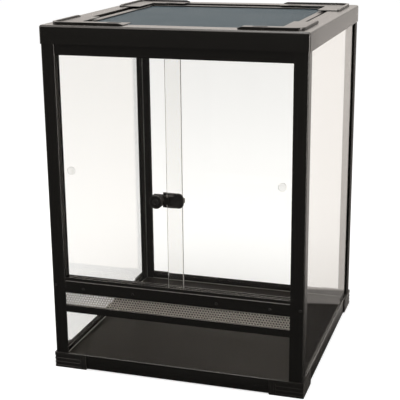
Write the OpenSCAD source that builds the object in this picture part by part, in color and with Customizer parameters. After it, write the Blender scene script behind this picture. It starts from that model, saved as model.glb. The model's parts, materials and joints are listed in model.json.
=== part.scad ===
// Glass terrarium with two sliding front doors, a vent strip below them and a lift-off mesh lid.
// Origin: centre of the footprint, on the surface it stands on. X right, front towards -Y, Z up.

/* [Overall] */
// Width over the corner posts
body_w = 450; // [360:1:700]
// Depth over the corner posts
body_d = 450; // [360:1:700]
// Height to the flat rim of the top frame
body_h = 609; // [450:1:900]

/* [Frame] */
// Leg width of the corner angles
post_leg = 24; // [20:0.5:32]
// Wall thickness of the corner angles
post_t = 2.5; // [1.5:0.1:3]
// Height of the base rails' top edge
base_rail_top = 27.5; // [22:0.5:45]
// Wall thickness of the base rails
base_rail_t = 2.4; // [1.5:0.1:3]
// Height of the shelf that carries the floor and the panes
shelf_z = 10; // [6:0.5:16]
// Width of that shelf, inwards from the outer face
shelf_w = 24; // [18:0.5:40]

/* [Feet] */
// Length of a foot along each side
foot_len = 58; // [40:1:90]
// Height of a foot
foot_h = 28; // [24:0.5:50]
// How far a foot stands proud of the frame
foot_proud = 2.3; // [1.2:0.1:4]
// Thickness of the sole under the rails
sole_t = 1.3; // [0.8:0.1:2.5]
// Number of grip grooves round a foot's corner
foot_grooves = 3; // [0:1:4]

/* [Glass] */
// Thickness of the panes and doors
glass_t = 4; // [3:0.5:6]
// Thickness of the floor panel
floor_t = 4; // [3:0.5:8]

/* [Front] */
// Top edge of the lower front glass, under the vent strip
front_glass_top = 112.8; // [80:0.1:200]
// Height of the vent rail
vent_rail_h = 13; // [10:0.5:20]
// Visible height of the vent strip
vent_h = 24; // [14:0.5:40]
// Height of the lower door track
track_h = 27; // [22:0.5:36]
// Depth of the two door channels in the lower track
channel_h = 8; // [5:0.5:12]
// Depth of the upper door channels, deep enough to lift a door out
upper_channel_h = 20; // [14:0.5:30]
// Overlap of the closed doors
door_overlap = 25; // [12:0.5:45]
// How far the middle of that overlap sits right of the centre
overlap_x = 1.3; // [-5:0.1:10]
// How far a door's outer edge sits inside its jamb
jamb_bite = 10; // [5:0.5:13]
// Gap between the two doors
door_gap = 3.5; // [3:0.1:8]
// Thickness of the fins between the channels
fin_t = 2; // [1.2:0.1:2.4]

/* [Lock] */
// Centre height of the lock
lock_z = 324; // [220:1:480]
// Diameter of the lock barrel
barrel_d = 23; // [18:0.5:28]
// Diameter of the turning plug
plug_d = 11; // [8:0.5:14]
// Height of the hook plate on the inner door
hook_h = 26; // [18:0.5:34]
// Height of the ratchet bar
bar_h = 10; // [6:0.5:13]
// Pitch of the ratchet teeth
tooth_pitch = 3; // [2:0.5:5]

/* [Top frame] */
// Lower edge of the top frame's skirt, below the rim
skirt_h = 31; // [24:0.5:50]
// How far the top frame stands proud of the posts
top_proud = 1.6; // [1.2:0.1:3]
// Wall thickness of the top frame
top_t = 1.4; // [1:0.1:2.4]
// Width of the flat rim
rim_w = 33; // [20:0.5:40]
// Depth of the recess that the lid drops into
recess = 8; // [6:0.5:14]
// Inner edge of the lid's ledge, from the outer face
ledge_w = 58; // [50:0.5:70]
// Length of a top corner along each side
top_corner_len = 60; // [50:1:90]
// Radius of the top frame's upright corner edges
corner_r = 5; // [5:0.5:8]
// Radius along the top frame's upper edge
top_edge_r = 4; // [2:0.5:4]

/* [Lid] */
// Gap between the rim and the lid frame
lid_gap = 9; // [2:0.5:12]
// Width of the lid rails
lid_rail_w = 12; // [11:0.5:30]
// How far the lid rails sit below the rim
lid_drop = 2.5; // [0:0.1:2.5]
// Reach of a lid corner along each side, from the outer face
lid_corner_len = 129; // [100:1:160]
// How much longer the front left and back right ones reach along the front and back, and the others less
lid_corner_more = 12; // [-20:1:20]
// Height of the raised lip on a lid corner
lip_h = 4; // [2:0.5:8]
// Square gaps along each side of the lid mesh
lid_mesh_n = 12; // [4:1:12]
// Gaps along the vent strip
vent_mesh_nx = 50; // [10:1:60]
// Rows of gaps in the vent strip
vent_mesh_nz = 3; // [2:1:3]

/* [Hidden] */

fit = 0.2;            // clearance where one piece seats on or in another
cut = 1;              // how far a cut runs past the face it opens
half_w = body_w / 2;
half_d = body_d / 2;

frame_black = "#1d1c1a";
glass_clear = [0.86, 0.94, 0.91, 0.35];
wire_grey = "#8b9094";

// Panes stand inside the posts; every depth below is measured inwards from the posts' outer face.
pane_in = post_t + 0.3;
pane_out = pane_in + glass_t;
pane_top = body_h - recess - top_t - fit;
pane_base = shelf_z + fit;
side_inner = pane_out + 0.3;
between_posts = body_w - 2 * (post_leg + fit);
between_panes = body_w - 2 * side_inner;
floor_in = pane_out + 2.2;
floor_z = shelf_z + fit;

// Front stack, from the base upwards
vent_rail_z = front_glass_top + fit - vent_rail_h / 2 + 0.5;
vent_z = vent_rail_z + vent_rail_h;
track_z = vent_z + vent_h;
track_top = track_z + track_h;
skirt_z = body_h - skirt_h;
header_z = skirt_z - 18;
web_t = 2;

// Door channels: outer door in front, inner door behind it
door_play = 0.75;
outer_in = pane_in + 2.7;
outer_out = outer_in + glass_t;
inner_in = outer_out + door_gap;
inner_out = inner_in + glass_t;
track_wall_in = post_t + fit;
track_wall_out = outer_in - 1;
mid_fin_in = (outer_out + inner_in) / 2 - fin_t / 2;
track_back_in = inner_out + door_play;
track_back_out = track_back_in + fin_t;
door_bottom = track_top - channel_h + fit;
door_top = header_z + 12;
jamb_face = half_w - post_leg - 0.2;
door_edge = jamb_face + jamb_bite;
lap_left = overlap_x - door_overlap / 2;
lap_right = overlap_x + door_overlap / 2;

mesh_t = 1;
mesh_in = track_wall_out + 0.7;
mesh_reach = 5;

// Lock
bar_t = 1.2;
plate_t = 1.6;
bar_in = outer_out + 1.2;
barrel_r = barrel_d / 2;
barrel_x = lap_left - barrel_r - 3.6;
bar_tip = barrel_x - barrel_r + 2;
barrel_front = -half_d - 8;
hook_left = lap_left - 8.1;
hook_right = lap_right + 3.1;

// Lid
lid_in = rim_w + lid_gap;
lid_out = lid_in + lid_rail_w;
lid_bottom = body_h - recess + fit;
lid_top = body_h - lid_drop;
lid_slot_z = lid_bottom + 1.4;
lid_slot_h = 2.7;
lid_slot_depth = 6;
lid_mesh_in = lid_out - lid_slot_depth + 1;

// ---- Placing helpers: a profile is drawn as (inwards, up) and a corner as (inwards x, inwards y) ----
module run_x(length) { rotate([90, 0, 90]) linear_extrude(height = length, center = true) children(); }
module run_y(length) { rotate([90, 0, 0]) linear_extrude(height = length, center = true) children(); }
module at_front() { translate([0, -half_d, 0]) children(); }
module at_back() { mirror([0, 1, 0]) at_front() children(); }
module at_left() { translate([-half_w, 0, 0]) children(); }
module at_right() { mirror([1, 0, 0]) at_left() children(); }
module at_front_left() { translate([-half_w, -half_d, 0]) children(); }
module at_front_right() { mirror([1, 0, 0]) at_front_left() children(); }
module at_back_left() { mirror([0, 1, 0]) at_front_left() children(); }
module at_back_right() { mirror([1, 0, 0]) at_back_left() children(); }
// An angle drawn from (start, start), its outer corner rounded by r
module ell(start, width, reach, r) uneven_ell(start, width, reach, reach, r);
// The same with arms of two lengths
module uneven_ell(start, width, reach_x, reach_y, r) {
    translate([start + r, start]) square([reach_x - start - r, width]);
    translate([start, start + r]) square([width, reach_y - start - r]);
    if (r > 0) translate([start + r, start + r]) circle(r, $fn = 48);
}
// A slot with round ends along X
module slot_2d(length, width) {
    square([length - width, width], center = true);
    for (side = [-1, 1]) translate([side * (length - width) / 2, 0]) circle(width / 2, $fn = 32);
}

// ---- Base ----
module base_wall() {
    tip_r = base_rail_t / 2;
    low = sole_t + fit;
    translate([0, low]) square([base_rail_t, base_rail_top - tip_r - low]);
    translate([tip_r, base_rail_top - tip_r]) circle(tip_r, $fn = 32);
    translate([0, low]) square([6, 1.5]);
}
module base_shelf() {
    translate([0, shelf_z - web_t]) square([shelf_w, web_t]);
    translate([pane_out + fit, shelf_z - web_t]) square([1.6, 14 + web_t]);
}
module base_rail_x() color(frame_black) run_x(between_posts) {
    base_wall();
    base_shelf();
}
// The side rails' shelf stops at the shelves of the front and back rails
module base_rail_y() color(frame_black) {
    run_y(body_d - 2 * (post_leg + fit)) base_wall();
    run_y(body_d - 2 * (max(post_leg, shelf_w) + fit)) base_shelf();
}
module base_rail_front() at_front() base_rail_x();
module base_rail_back() at_back() base_rail_x();
module base_rail_left() at_left() base_rail_y();
module base_rail_right() at_right() base_rail_y();

// A corner foot: a shell round the rail ends and the post, with grip grooves and an inner block
module foot() {
    groove_low = 3.5;
    groove_rib = 2.6;
    groove_depth = 1;
    groove_pitch = (foot_h - 2 * groove_low) / max(foot_grooves, 1);
    groove_reach = foot_len - 12;
    color(frame_black) difference() {
        union() {
            linear_extrude(foot_h) difference() {
                ell(-foot_proud, foot_len + foot_proud, foot_len, 2);
                translate([-fit, -fit]) square(foot_len + cut);
            }
            linear_extrude(sole_t) ell(-foot_proud, shelf_w + foot_proud, foot_len, 2);
            translate([pane_in, pane_in, 0]) cube([post_leg - pane_in, post_leg - pane_in, shelf_z]);
        }
        for (i = [0:1:foot_grooves - 1])
            translate([0, 0, groove_low + groove_pitch * i]) linear_extrude(groove_pitch - groove_rib)
                ell(-foot_proud - cut, cut + groove_depth, groove_reach, 0);
        for (flip = [0, 1]) mirror([flip, -flip, 0])
            for (from_end = [10.5, 5])
                translate([foot_len - from_end, -foot_proud - cut, 2])
                    cube([1.4, cut + 0.7, foot_h - 4]);
    }
}
module foot_front_left() at_front_left() foot();
module foot_front_right() at_front_right() foot();
module foot_back_left() at_back_left() foot();
module foot_back_right() at_back_right() foot();

module floor_panel() color("#2b2925")
    translate([floor_in - half_w, floor_in - half_d, floor_z])
        cube([body_w - 2 * floor_in, body_d - 2 * floor_in, floor_t]);

// ---- Posts ----
// An angle that follows the top frame's corner radius and stops where its upper edge turns in
module post() {
    tip_r = post_t / 2;
    post_r = corner_r - top_proud;
    straight = post_leg - tip_r;
    color(frame_black) translate([0, 0, sole_t + fit])
        linear_extrude(body_h - top_edge_r - sole_t - 2 * fit) {
            difference() {
                union() {
                    translate([post_r, 0]) square([straight - post_r, straight]);
                    translate([0, post_r]) square([straight, straight - post_r]);
                    translate([post_r, post_r]) circle(post_r, $fn = 48);
                }
                translate([post_t, post_t]) square(post_leg);
            }
            translate([straight, tip_r]) circle(tip_r, $fn = 32);
            translate([tip_r, straight]) circle(tip_r, $fn = 32);
        }
}
module post_front_left() at_front_left() post();
module post_front_right() at_front_right() post();
module post_back_left() at_back_left() post();
module post_back_right() at_back_right() post();

// ---- Fixed glass ----
module glass_side() color(glass_clear)
    translate([pane_in, pane_in - half_d, pane_base])
        cube([glass_t, body_d - 2 * pane_in, pane_top - pane_base]);
module glass_left() at_left() glass_side();
module glass_right() at_right() glass_side();
module glass_cross(top) color(glass_clear)
    translate([side_inner - half_w, pane_in, pane_base])
        cube([between_panes, glass_t, top - pane_base]);
module glass_back() at_back() glass_cross(pane_top);
module glass_front_lower() at_front() glass_cross(front_glass_top);

// Strips that cover the panes' edges inside the back posts; they stand on the floor panel
bead_in = pane_out + fit;
bead_t = 2.4;
inside_z = floor_z + floor_t + fit;
module bead(start_x, start_y, size_x, size_y) color(frame_black)
    translate([start_x, start_y, inside_z]) cube([size_x, size_y, pane_top - fit - inside_z]);
module bead_rear() bead(bead_in, bead_in, post_leg - bead_in, bead_t);
module bead_side() bead(bead_in, bead_in + bead_t + fit, bead_t, post_leg - bead_in - bead_t - fit);
module bead_rear_left() at_back_left() bead_rear();
module bead_rear_right() at_back_right() bead_rear();
module bead_side_left() at_back_left() bead_side();
module bead_side_right() at_back_right() bead_side();

// Silicone fillets in the upright corners: at the front inside the panes, at the back inside the beads
module seal(start, size, top) {
    translate([start + 0.05, start + 0.05, inside_z])
        linear_extrude(top - fit - inside_z)
            difference() {
                square(size);
                translate([1.15 * size, 1.15 * size]) circle(size, $fn = 40);
            }
}
module corner_seals() color([0.75, 0.77, 0.75, 0.8]) {
    at_front_left() seal(pane_out, 4, vent_rail_z);
    at_front_right() seal(pane_out, 4, vent_rail_z);
    at_back_left() seal(bead_in + bead_t, 1.7, pane_top);
    at_back_right() seal(bead_in + bead_t, 1.7, pane_top);
}

// ---- Vent strip and door tracks ----
// Front face of the vent rail and of the lower track, a little behind the posts' face
vent_face_in = 0.6;
track_face_in = 0.4;
module vent_rail() {
    back_in = pane_out + fit;
    back_t = 1.6;
    lip_t = 1.4;
    web_z = front_glass_top + fit;
    color(frame_black) at_front() {
        run_x(between_posts) {
            translate([vent_face_in, vent_rail_z]) square([pane_in - vent_face_in - fit, vent_rail_h]);
            translate([vent_face_in, web_z]) square([back_in, web_t]);
        }
        run_x(between_panes) {
            translate([track_wall_in, web_z]) square([back_in + back_t - track_wall_in, web_t]);
            translate([back_in, vent_rail_z]) square([back_t, vent_rail_h]);
            translate([mesh_in - fit - lip_t, web_z]) square([lip_t, vent_z - web_z]);
        }
    }
}
// A flat net as one sheet: an outline and a grid of square-cornered gaps
module net(size_x, size_y, count_x, count_y, gap_x, gap_y, border_x, border_y) {
    step_x = (size_x - 2 * border_x - gap_x) / (count_x - 1);
    step_y = (size_y - 2 * border_y - gap_y) / (count_y - 1);
    outline = [[0, 0], [size_x, 0], [size_x, size_y], [0, size_y]];
    gaps = [for (i = [0:1:count_x - 1], j = [0:1:count_y - 1], c = [[0, 0], [1, 0], [1, 1], [0, 1]])
        [border_x + step_x * i + gap_x * c[0], border_y + step_y * j + gap_y * c[1]]];
    paths = [for (k = [-1:1:count_x * count_y - 1]) [for (m = [0:3]) 4 * (k + 1) + m]];
    polygon(concat(outline, gaps), paths);
}
module vent_mesh() {
    base = vent_z - mesh_reach + 1;
    height = track_z + mesh_reach - base;
    pitch_x = (between_panes - 8) / vent_mesh_nx;
    color(wire_grey) at_front() translate([-between_panes / 2, mesh_in + mesh_t, base])
        rotate([90, 0, 0]) linear_extrude(mesh_t)
            net(between_panes, height, vent_mesh_nx, vent_mesh_nz,
                pitch_x - 2, vent_h / vent_mesh_nz - 2, 5, mesh_reach + 1);
}
module door_track_lower() color(frame_black) at_front() {
    step_h = 6;
    mesh_slot_in = mesh_in - fit;
    mesh_slot_out = mesh_in + mesh_t + fit;
    channel_z = track_top - channel_h - web_t;
    run_x(between_posts) translate([track_face_in, track_z])
        square([track_wall_out - track_face_in, track_h - step_h]);
    run_x(between_panes) {
        translate([track_wall_in, track_z]) square([track_wall_out - track_wall_in, track_h]);
        translate([track_wall_in, track_z]) square([mesh_slot_in - track_wall_in, web_t]);
        translate([mesh_slot_out, track_z]) square([track_back_out - mesh_slot_out, web_t]);
        translate([track_back_in, track_z]) square([fin_t, track_h]);
        translate([track_wall_in, channel_z]) square([track_back_out - track_wall_in, web_t]);
        translate([mid_fin_in, channel_z]) square([fin_t, channel_h + web_t]);
    }
}
module door_track_upper() color(frame_black) at_front() run_x(between_panes) {
    wall_h = body_h - top_t - fit - header_z;
    translate([track_wall_in, header_z]) square([track_wall_out - track_wall_in, wall_h]);
    translate([track_wall_in, header_z + upper_channel_h])
        square([track_back_out - track_wall_in, web_t]);
    translate([mid_fin_in, header_z]) square([fin_t, upper_channel_h + web_t]);
    translate([track_back_in, header_z]) square([fin_t, upper_channel_h + web_t]);
}
module screw_head() {
    rotate([90, 0, 0]) difference() {
        union() {
            cylinder(h = 0.5, d = 5.4, $fn = 32);
            translate([0, 0, 0.5]) cylinder(h = 0.9, d1 = 5.4, d2 = 3.4, $fn = 32);
        }
        for (turn = [0, 90]) rotate([0, 0, turn]) translate([-1.4, -0.3, 0.7]) cube([2.8, 0.6, 2]);
    }
}
// One screw through each front post into the track's end, and four along the track
module track_screws() color("#3a3936") at_front() {
    seat = 0.05;
    inner_x = body_w / 6;
    outer_x = half_w - 58;
    for (side = [-1, 1]) {
        translate([side * (half_w - 6), -seat, track_z + 12]) screw_head();
        for (x = [inner_x, outer_x])
            translate([side * x, track_face_in - seat, track_z + 9]) screw_head();
    }
}
// Upright channel that takes a door's outer edge; slot_in is the depth of that door's front face
module jamb(slot_in, chamber_in, chamber_out) {
    face = post_leg + 0.2;
    back = side_inner;
    color(frame_black) translate([0, 0, track_top + fit])
        linear_extrude(header_z - track_top - 2 * fit) difference() {
            translate([back, track_wall_in]) square([face - back, track_back_out - track_wall_in]);
            translate([face - jamb_bite - 0.6, slot_in - 0.5]) square([jamb_bite + 0.6 + cut, glass_t + 1]);
            translate([back + 1.8, chamber_in]) square([face - back - 3.6, chamber_out - chamber_in]);
        }
}
module jamb_left() at_front_left() jamb(inner_in, track_wall_in + 1.8, mid_fin_in);
module jamb_right() at_front_right() jamb(outer_in, inner_in, track_back_out - 1.8);

// ---- Doors ----
module door_left() color(glass_clear) translate([-door_edge, inner_in - half_d, door_bottom])
    cube([door_edge + lap_right, glass_t, door_top - door_bottom]);
module door_right() color(glass_clear) translate([lap_left, outer_in - half_d, door_bottom])
    cube([door_edge - lap_left, glass_t, door_top - door_bottom]);
// A small clear disc to push a door by, its face dished
pull_d = 14;
pull_t = 2.2;
pull_x = half_w - post_leg - 16;
pull_z = 362;
module pull() color([0.8, 0.82, 0.8, 0.7]) rotate([90, 0, 0]) rotate_extrude($fn = 48) difference() {
    square([pull_d / 2, pull_t]);
    translate([0, 9.6]) circle(r = 8.4, $fn = 64);
    translate([pull_d / 2, pull_t]) rotate(45) square(0.8, center = true);
}
module finger_pull_left() translate([-pull_x, inner_in - half_d - 0.05, pull_z]) pull();
module finger_pull_right() translate([pull_x, outer_in - half_d - 0.05, pull_z]) pull();

// ---- Lock: a ratchet bar hooked round the inner door's edge, and a barrel at the outer door's edge ----
module lock_hook() {
    bar_y = bar_in - half_d;
    tooth_h = 1.4;
    teeth = floor((hook_left - bar_tip - 6) / tooth_pitch);
    outline = concat([[bar_tip, -bar_h / 2], [0, -bar_h / 2], [0, bar_h / 2]],
        [[bar_tip + teeth * tooth_pitch, bar_h / 2]],
        [for (i = [teeth - 1:-1:0], s = [0, 1])
            [bar_tip + i * tooth_pitch + (s == 0 ? 0.4 : 0), bar_h / 2 - (s == 0 ? tooth_h : 0)]]);
    end_r = 9;
    plate_w = hook_right - hook_left;
    color("#1f1d1b") translate([0, 0, lock_z]) {
        // ratchet bar
        translate([0, bar_y + bar_t, 0]) rotate([90, 0, 0]) linear_extrude(bar_t) polygon(outline);
        // hook plate between the doors, round at its outer end
        difference() {
            translate([0, bar_y + plate_t, 0]) rotate([90, 0, 0]) linear_extrude(plate_t) {
                translate([hook_left, -hook_h / 2]) square([plate_w - end_r, hook_h]);
                translate([hook_left, -hook_h / 2 + end_r]) square([plate_w, hook_h - 2 * end_r]);
                for (side = [-1, 1])
                    translate([hook_right - end_r, side * (hook_h / 2 - end_r)]) circle(end_r, $fn = 48);
            }
            for (side = [-1, 1]) translate([hook_left + 4, bar_y - cut, side * 9 - 0.6])
                cube([14, cut + 0.5, 1.2]);
        }
        // turn round the door's edge and return behind it
        translate([lap_right + fit, bar_y, -hook_h / 2 + end_r])
            cube([hook_right - lap_right - fit, inner_out + 1.8 - bar_in, hook_h - 2 * end_r]);
        translate([lap_right - 9, inner_out + 0.3 - half_d, -hook_h / 2 + end_r])
            cube([hook_right - lap_right + 9, 1.5, hook_h - 2 * end_r]);
    }
}
module lock_pad() color("#2c2a29") translate([-4, bar_in + plate_t + 0.05 - half_d, lock_z - 8])
    cube([lap_right + 2, inner_in - bar_in - plate_t - 0.15, 16]);
barrel_rear = inner_in - 0.7;
barrel_block_w = 16;
module lock_barrel() color("#1c1b1a") translate([barrel_x, 0, lock_z]) difference() {
    union() {
        // round head
        translate([0, outer_in - 1.5 - half_d, 0]) rotate([90, 0, 0])
            cylinder(h = outer_in - 1.5 + 7, d = barrel_d, $fn = 64);
        translate([0, -half_d - 7, 0]) rotate([90, 0, 0])
            cylinder(h = 1, d1 = barrel_d, d2 = barrel_d - 2, $fn = 64);
        // shoulder that meets the outer door's edge
        translate([-barrel_r + 1, outer_in - 1.6 - half_d, -8])
            cube([lap_left - fit - barrel_x + barrel_r - 1, outer_out - outer_in + 1.6 - 0.2, 16]);
        // lip over the face of that door
        translate([0, outer_in - 1.6 - half_d, -6])
            cube([lap_left + 4 - barrel_x, 1.4, 12]);
        // rear block that rides over the bar
        translate([-barrel_r + 2.5, outer_out - 0.5 - half_d, -9])
            cube([barrel_block_w, barrel_rear - outer_out + 0.5, 18]);
    }
    // groove for the bar, open to the rear
    translate([-barrel_d, bar_in - 0.4 - half_d, -bar_h / 2 - 0.5])
        cube([2 * barrel_d, barrel_rear - bar_in + 0.4 + cut, bar_h + 1]);
    // bore for the plug
    translate([0, barrel_front - cut, 0]) rotate([-90, 0, 0])
        cylinder(h = 11 + cut, d = plug_d + 0.16, $fn = 64);
}
module lock_plug() color("#2a2927") translate([barrel_x, 0, lock_z]) difference() {
    translate([0, barrel_front - 0.4, 0]) rotate([-90, 0, 0]) cylinder(h = 11, d = plug_d, $fn = 64);
    translate([-0.8, barrel_front - 0.4 - cut, -3.2]) cube([1.6, 6 + cut, 6.4]);
}

// ---- Top frame ----
module top_block_2d(inset) {
    r = top_edge_r - inset;
    left = inset - top_proud;
    width = rim_w - inset - left;
    low = inset > 0 ? skirt_z - cut : skirt_z;
    high = body_h - inset;
    translate([left, low]) square([width, high - r - low]);
    translate([left + r, high - r - cut]) square([width - r, r + cut]);
    translate([left + r, high - r]) circle(r, $fn = 48);
}
module top_profile(glazed) {
    ledge_z = body_h - recess;
    difference() {
        top_block_2d(0);
        top_block_2d(top_t);
        translate([rim_w - top_t - cut, skirt_z - cut])
            square([top_t + 2 * cut, ledge_z - top_t - skirt_z + cut]);
    }
    translate([rim_w - top_t, ledge_z - top_t]) square([ledge_w - rim_w + top_t, top_t]);
    if (glazed) {
        translate([pane_out + fit, pane_top - 8]) square([top_t, body_h - top_t / 2 - pane_top + 8]);
        translate([pane_in - fit - top_t, pane_top - 4]) square([top_t, body_h - top_t / 2 - pane_top + 4]);
    }
}
top_rail_w = body_w - 2 * (top_corner_len + fit / 2);
top_rail_d = body_d - 2 * (top_corner_len + fit / 2);
module top_rail_front() color(frame_black) at_front() run_x(top_rail_w) top_profile(false);
module top_rail_back() color(frame_black) at_back() run_x(top_rail_w) top_profile(true);
module top_rail_y() color(frame_black) run_y(top_rail_d) top_profile(true);
module top_rail_left() at_left() top_rail_y();
module top_rail_right() at_right() top_rail_y();

// Solid of a top corner, shrunk by inset: round upright edge, round top edge
module corner_block(inset) {
    r = corner_r - inset;
    edge = top_edge_r - inset;
    centre = corner_r - top_proud;
    low = inset > 0 ? skirt_z - cut : skirt_z;
    high = body_h - inset;
    reach = top_corner_len - centre + (inset > 0 ? cut : 0);
    module edge_2d() {
        square([r, high - edge - low]);
        translate([0, high - edge - low - cut]) square([r - edge, edge + cut]);
        translate([r - edge, high - edge - low]) circle(edge, $fn = 48);
    }
    translate([centre, centre, low]) {
        rotate([0, 0, 180]) rotate_extrude(angle = 90, $fn = 64) intersection() {
            edge_2d();
            square([r + cut, high]);
        }
        rotate([90, 0, 90]) linear_extrude(reach) mirror([1, 0]) edge_2d();
        mirror([1, -1, 0]) rotate([90, 0, 90]) linear_extrude(reach) mirror([1, 0]) edge_2d();
        linear_extrude(high - low) ell(0, rim_w - inset - centre, reach, 0);
    }
}
module top_corner() {
    ledge_z = body_h - recess;
    color(frame_black) {
        difference() {
            corner_block(0);
            corner_block(top_t);
            translate([0, 0, skirt_z - cut]) linear_extrude(ledge_z - top_t - skirt_z + cut)
                ell(rim_w - top_t - cut, top_t + 2 * cut, top_corner_len + cut, 0);
        }
        // recess wall and the lid's ledge
        translate([0, 0, ledge_z - top_t]) linear_extrude(recess + top_t / 2) difference() {
            ell(0, rim_w, top_corner_len, 0.5);
            ell(-cut, rim_w - top_t + cut, top_corner_len + cut, 0.5);
        }
        translate([0, 0, ledge_z - top_t]) linear_extrude(top_t) difference() {
            ell(0, ledge_w, top_corner_len, 0.5);
            ell(-cut, rim_w - top_t + cut, top_corner_len + cut, 0.5);
        }
        // spigots that slide into the rails
        spigot_in = pane_out + 2.4;
        spigot_w = rim_w - top_t - 2.4 - spigot_in;
        spigot_h = 6;
        for (flip = [0, 1]) mirror([flip, -flip, 0]) {
            translate([top_corner_len - 12, spigot_in, body_h - top_t - spigot_h])
                cube([12, spigot_w, spigot_h]);
            translate([top_corner_len - 1, spigot_in, body_h - top_t - spigot_h])
                cube([18, spigot_w, spigot_h - fit]);
        }
    }
}
module top_corner_front_left() at_front_left() top_corner();
module top_corner_front_right() at_front_right() top_corner();
module top_corner_back_left() at_back_left() top_corner();
module top_corner_back_right() at_back_right() top_corner();

// ---- Lid ----
module lid_profile() {
    edge = 1.2;
    difference() {
        union() {
            translate([lid_in, lid_bottom]) square([lid_rail_w, lid_top - lid_bottom - edge]);
            translate([lid_in + edge, lid_top - 2 * edge]) square([lid_rail_w - 2 * edge, 2 * edge]);
            for (at = [lid_in + edge, lid_out - edge])
                translate([at, lid_top - edge]) circle(edge, $fn = 24);
        }
        translate([lid_out - lid_slot_depth, lid_slot_z]) square([lid_slot_depth + cut, lid_slot_h]);
    }
}
module lid_rail_x() color(frame_black) run_x(body_w - 2 * (lid_out + fit / 2)) lid_profile();
module lid_rail_y() color(frame_black) run_y(body_d - 2 * (lid_out + fit / 2)) lid_profile();
module lid_rail_front() at_front() lid_rail_x();
module lid_rail_back() at_back() lid_rail_x();
module lid_rail_left() at_left() lid_rail_y();
module lid_rail_right() at_right() lid_rail_y();

// A moulded elbow that joins two lid rails and rests on the rim, with a raised lip
module lid_corner(more) {
    plate_z = body_h + fit;
    plate_in = 12;
    plate_w = lid_out - plate_in - 1;
    arm_x = lid_corner_len + more;
    rib_z = lid_top + fit;
    sheet = 1.2;
    lip_w = 5;
    round_r = 18;
    ramp = 7;
    ramp_drop = lip_h - sheet - 0.5;
    color(frame_black) difference() {
        union() {
            translate([0, 0, plate_z]) linear_extrude(sheet)
                uneven_ell(plate_in, plate_w, arm_x, lid_corner_len, round_r);
            translate([0, 0, plate_z]) linear_extrude(lip_h) difference() {
                uneven_ell(plate_in, plate_w, arm_x, lid_corner_len, round_r);
                uneven_ell(plate_in + lip_w, plate_w, arm_x + cut, lid_corner_len + cut, round_r - lip_w);
            }
            translate([lid_in, lid_in, lid_bottom])
                cube([lid_rail_w, lid_rail_w, plate_z + sheet / 2 - lid_bottom]);
            // ribs that rest on the rails
            for (flip = [0, 1]) mirror([flip, -flip, 0]) translate([lid_out - cut, lid_in + 2, rib_z])
                cube([30, lid_rail_w - 4, plate_z + sheet / 2 - rib_z]);
        }
        // ramped tips
        for (flip = [0, 1]) mirror([flip, -flip, 0])
            translate([(flip == 0 ? arm_x : lid_corner_len) - ramp, plate_in - cut, plate_z + lip_h])
                rotate([0, atan(ramp_drop / ramp), 0]) cube([ramp * 2, lip_w + 2 * cut, lip_h]);
        // slot for the mesh
        translate([lid_out - lid_slot_depth, lid_out - lid_slot_depth, lid_slot_z])
            cube([lid_slot_depth + cut, lid_slot_depth + cut, lid_slot_h]);
        // finger slot on the arm along the front or back
        translate([arm_x - 28, lid_out - 8, plate_z - cut]) linear_extrude(sheet + 2 * cut)
            slot_2d(26, 7);
    }
}
module lid_corner_front_left() at_front_left() lid_corner(lid_corner_more);
module lid_corner_front_right() at_front_right() lid_corner(-lid_corner_more);
module lid_corner_back_left() at_back_left() lid_corner(-lid_corner_more);
module lid_corner_back_right() at_back_right() lid_corner(lid_corner_more);

module lid_mesh() {
    size_x = body_w - 2 * lid_mesh_in;
    size_y = body_d - 2 * lid_mesh_in;
    wire = 4;
    border = lid_slot_depth;
    gap_x = (size_x - 2 * border) / lid_mesh_n - wire;
    gap_y = (size_y - 2 * border) / lid_mesh_n - wire;
    color(wire_grey) translate([-size_x / 2, -size_y / 2, lid_slot_z + fit])
        linear_extrude(mesh_t)
            net(size_x, size_y, lid_mesh_n, lid_mesh_n, gap_x, gap_y, border, border);
}
// The cord that holds the mesh in its slot
module lid_spline() {
    cord_r = 0.6;
    run_in = lid_mesh_in + 2;
    z = lid_slot_z + fit + mesh_t + cord_r + 0.05;
    color("#2c2b29") {
        for (side = [-1, 1]) translate([lid_out - half_w, side * (half_d - run_in), z])
            rotate([0, 90, 0]) cylinder(h = body_w - 2 * lid_out, r = cord_r, $fn = 16);
        for (side = [-1, 1]) translate([side * (half_w - run_in), half_d - lid_out, z])
            rotate([90, 0, 0]) cylinder(h = body_d - 2 * lid_out, r = cord_r, $fn = 16);
    }
}

base_rail_front();
base_rail_back();
base_rail_left();
base_rail_right();
foot_front_left();
foot_front_right();
foot_back_left();
foot_back_right();
floor_panel();
post_front_left();
post_front_right();
post_back_left();
post_back_right();
glass_back();
glass_left();
glass_right();
glass_front_lower();
corner_seals();
bead_rear_left();
bead_rear_right();
bead_side_left();
bead_side_right();
vent_rail();
vent_mesh();
door_track_lower();
door_track_upper();
track_screws();
jamb_left();
jamb_right();
door_left();
door_right();
finger_pull_left();
finger_pull_right();
lock_hook();
lock_pad();
lock_barrel();
lock_plug();
top_rail_front();
top_rail_back();
top_rail_left();
top_rail_right();
top_corner_front_left();
top_corner_front_right();
top_corner_back_left();
top_corner_back_right();
lid_rail_front();
lid_rail_back();
lid_rail_left();
lid_rail_right();
lid_corner_front_left();
lid_corner_front_right();
lid_corner_back_left();
lid_corner_back_right();
lid_mesh();
lid_spline();
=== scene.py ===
import json
from math import cos, pi, radians, sqrt

import bpy
from mathutils import Matrix, Vector

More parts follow.
